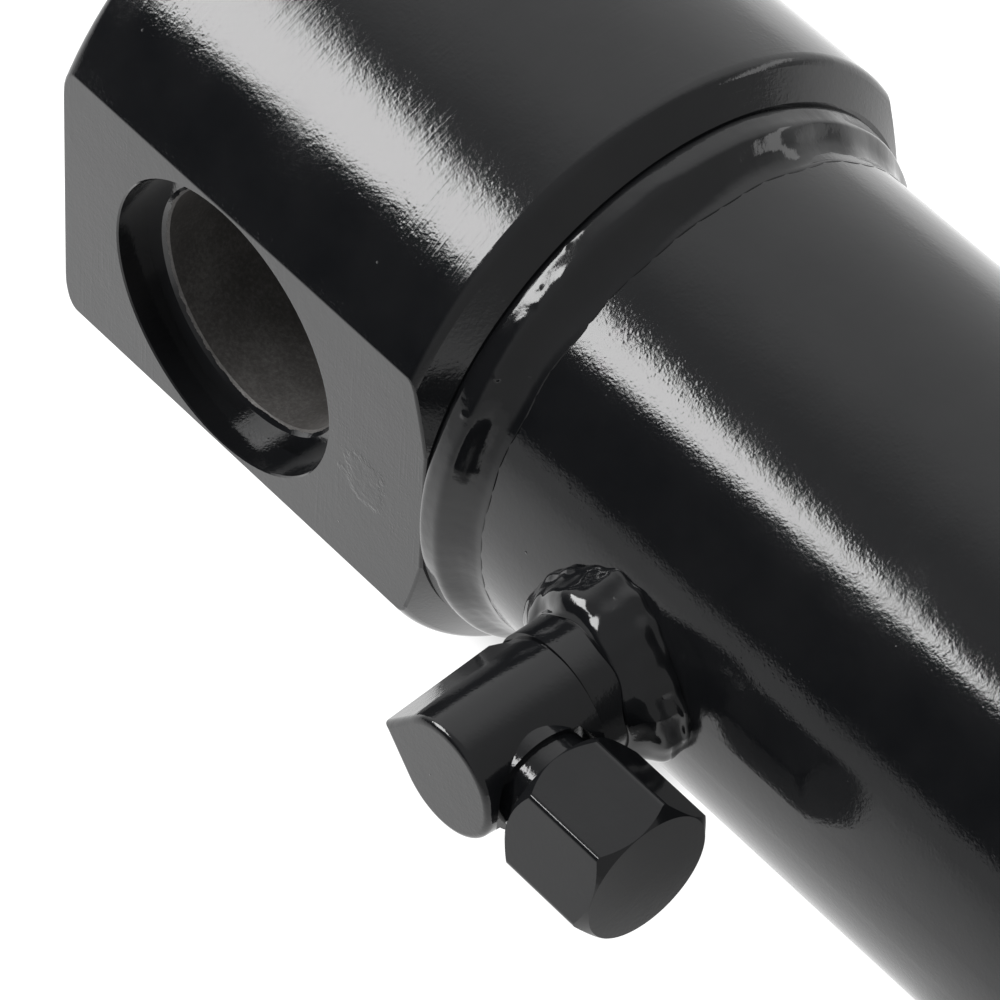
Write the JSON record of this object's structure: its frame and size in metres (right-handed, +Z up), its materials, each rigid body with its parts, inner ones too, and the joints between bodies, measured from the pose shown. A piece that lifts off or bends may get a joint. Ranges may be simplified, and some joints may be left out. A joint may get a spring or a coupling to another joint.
{
  "type": "hydraulic cylinder",
  "caption": "Welded loader-style hydraulic cylinder: round bushed base eye with flats, capped elbow ports, and a chromed rod with a bushed eye that slides and turns.",
  "frame": {"origin": "centre of the base pin bore, midway between the two flats of the base end", "axes": "+X along the barrel toward the rod end; +Y along the pin bores, away from the side the ports stand on; +Z up, across the barrel"},
  "size_m": [0.7447, 0.1268, 0.108],
  "materials": {
    "painted_steel": "gloss black enamel over turned and forged steel",
    "bush_steel": "bare hardened bush, dark, finely bored",
    "machined_steel": "turned steel, lightly oiled",
    "chrome_rod": "hard chrome, ground and polished",
    "nitrile": "matt black nitrile rubber",
    "polyurethane": "satin cast polyurethane",
    "filled_ptfe": "bronze-filled PTFE, matt",
    "acetal": "satin glass-filled nylon"
  },
  "bodies": {
    "barrel": {"base_end": "painted_steel", "base_bush": "bush_steel", "barrel_tube": "painted_steel", "base_weld": "painted_steel", "base_port_elbow": "painted_steel", "base_port_weld": "painted_steel", "base_port_cap": "painted_steel", "rod_port_elbow": "painted_steel", "rod_port_weld": "painted_steel", "rod_port_cap": "painted_steel", "head_gland": "painted_steel", "gland_o_ring": "nitrile", "gland_backup_ring": "filled_ptfe", "rod_wear_ring_inner": "acetal", "rod_wear_ring_outer": "acetal", "rod_buffer_seal": "filled_ptfe", "rod_seal": "polyurethane", "rod_wiper": "polyurethane"},
    "piston_rings": {"piston_seal": "filled_ptfe", "piston_seal_energizer": "nitrile", "piston_wear_ring_front": "acetal", "piston_wear_ring_rear": "acetal"},
    "rod": {"rod": "chrome_rod", "piston": "machined_steel", "piston_o_ring": "nitrile", "piston_nut": "machined_steel", "rod_eye": "painted_steel", "rod_eye_weld": "painted_steel", "rod_eye_bush": "bush_steel"}
  },
  "joints": [
    {"name": "rod_slide", "type": "slide", "parent": "barrel", "child": "piston_rings", "axis": [1, 0, 0], "range_m": [0, 0.4]},
    {"name": "rod_spin", "type": "hinge", "parent": "piston_rings", "child": "rod", "pos_m": [0.135, 0, 0], "axis": [1, 0, 0], "continuous": true}
  ]
}
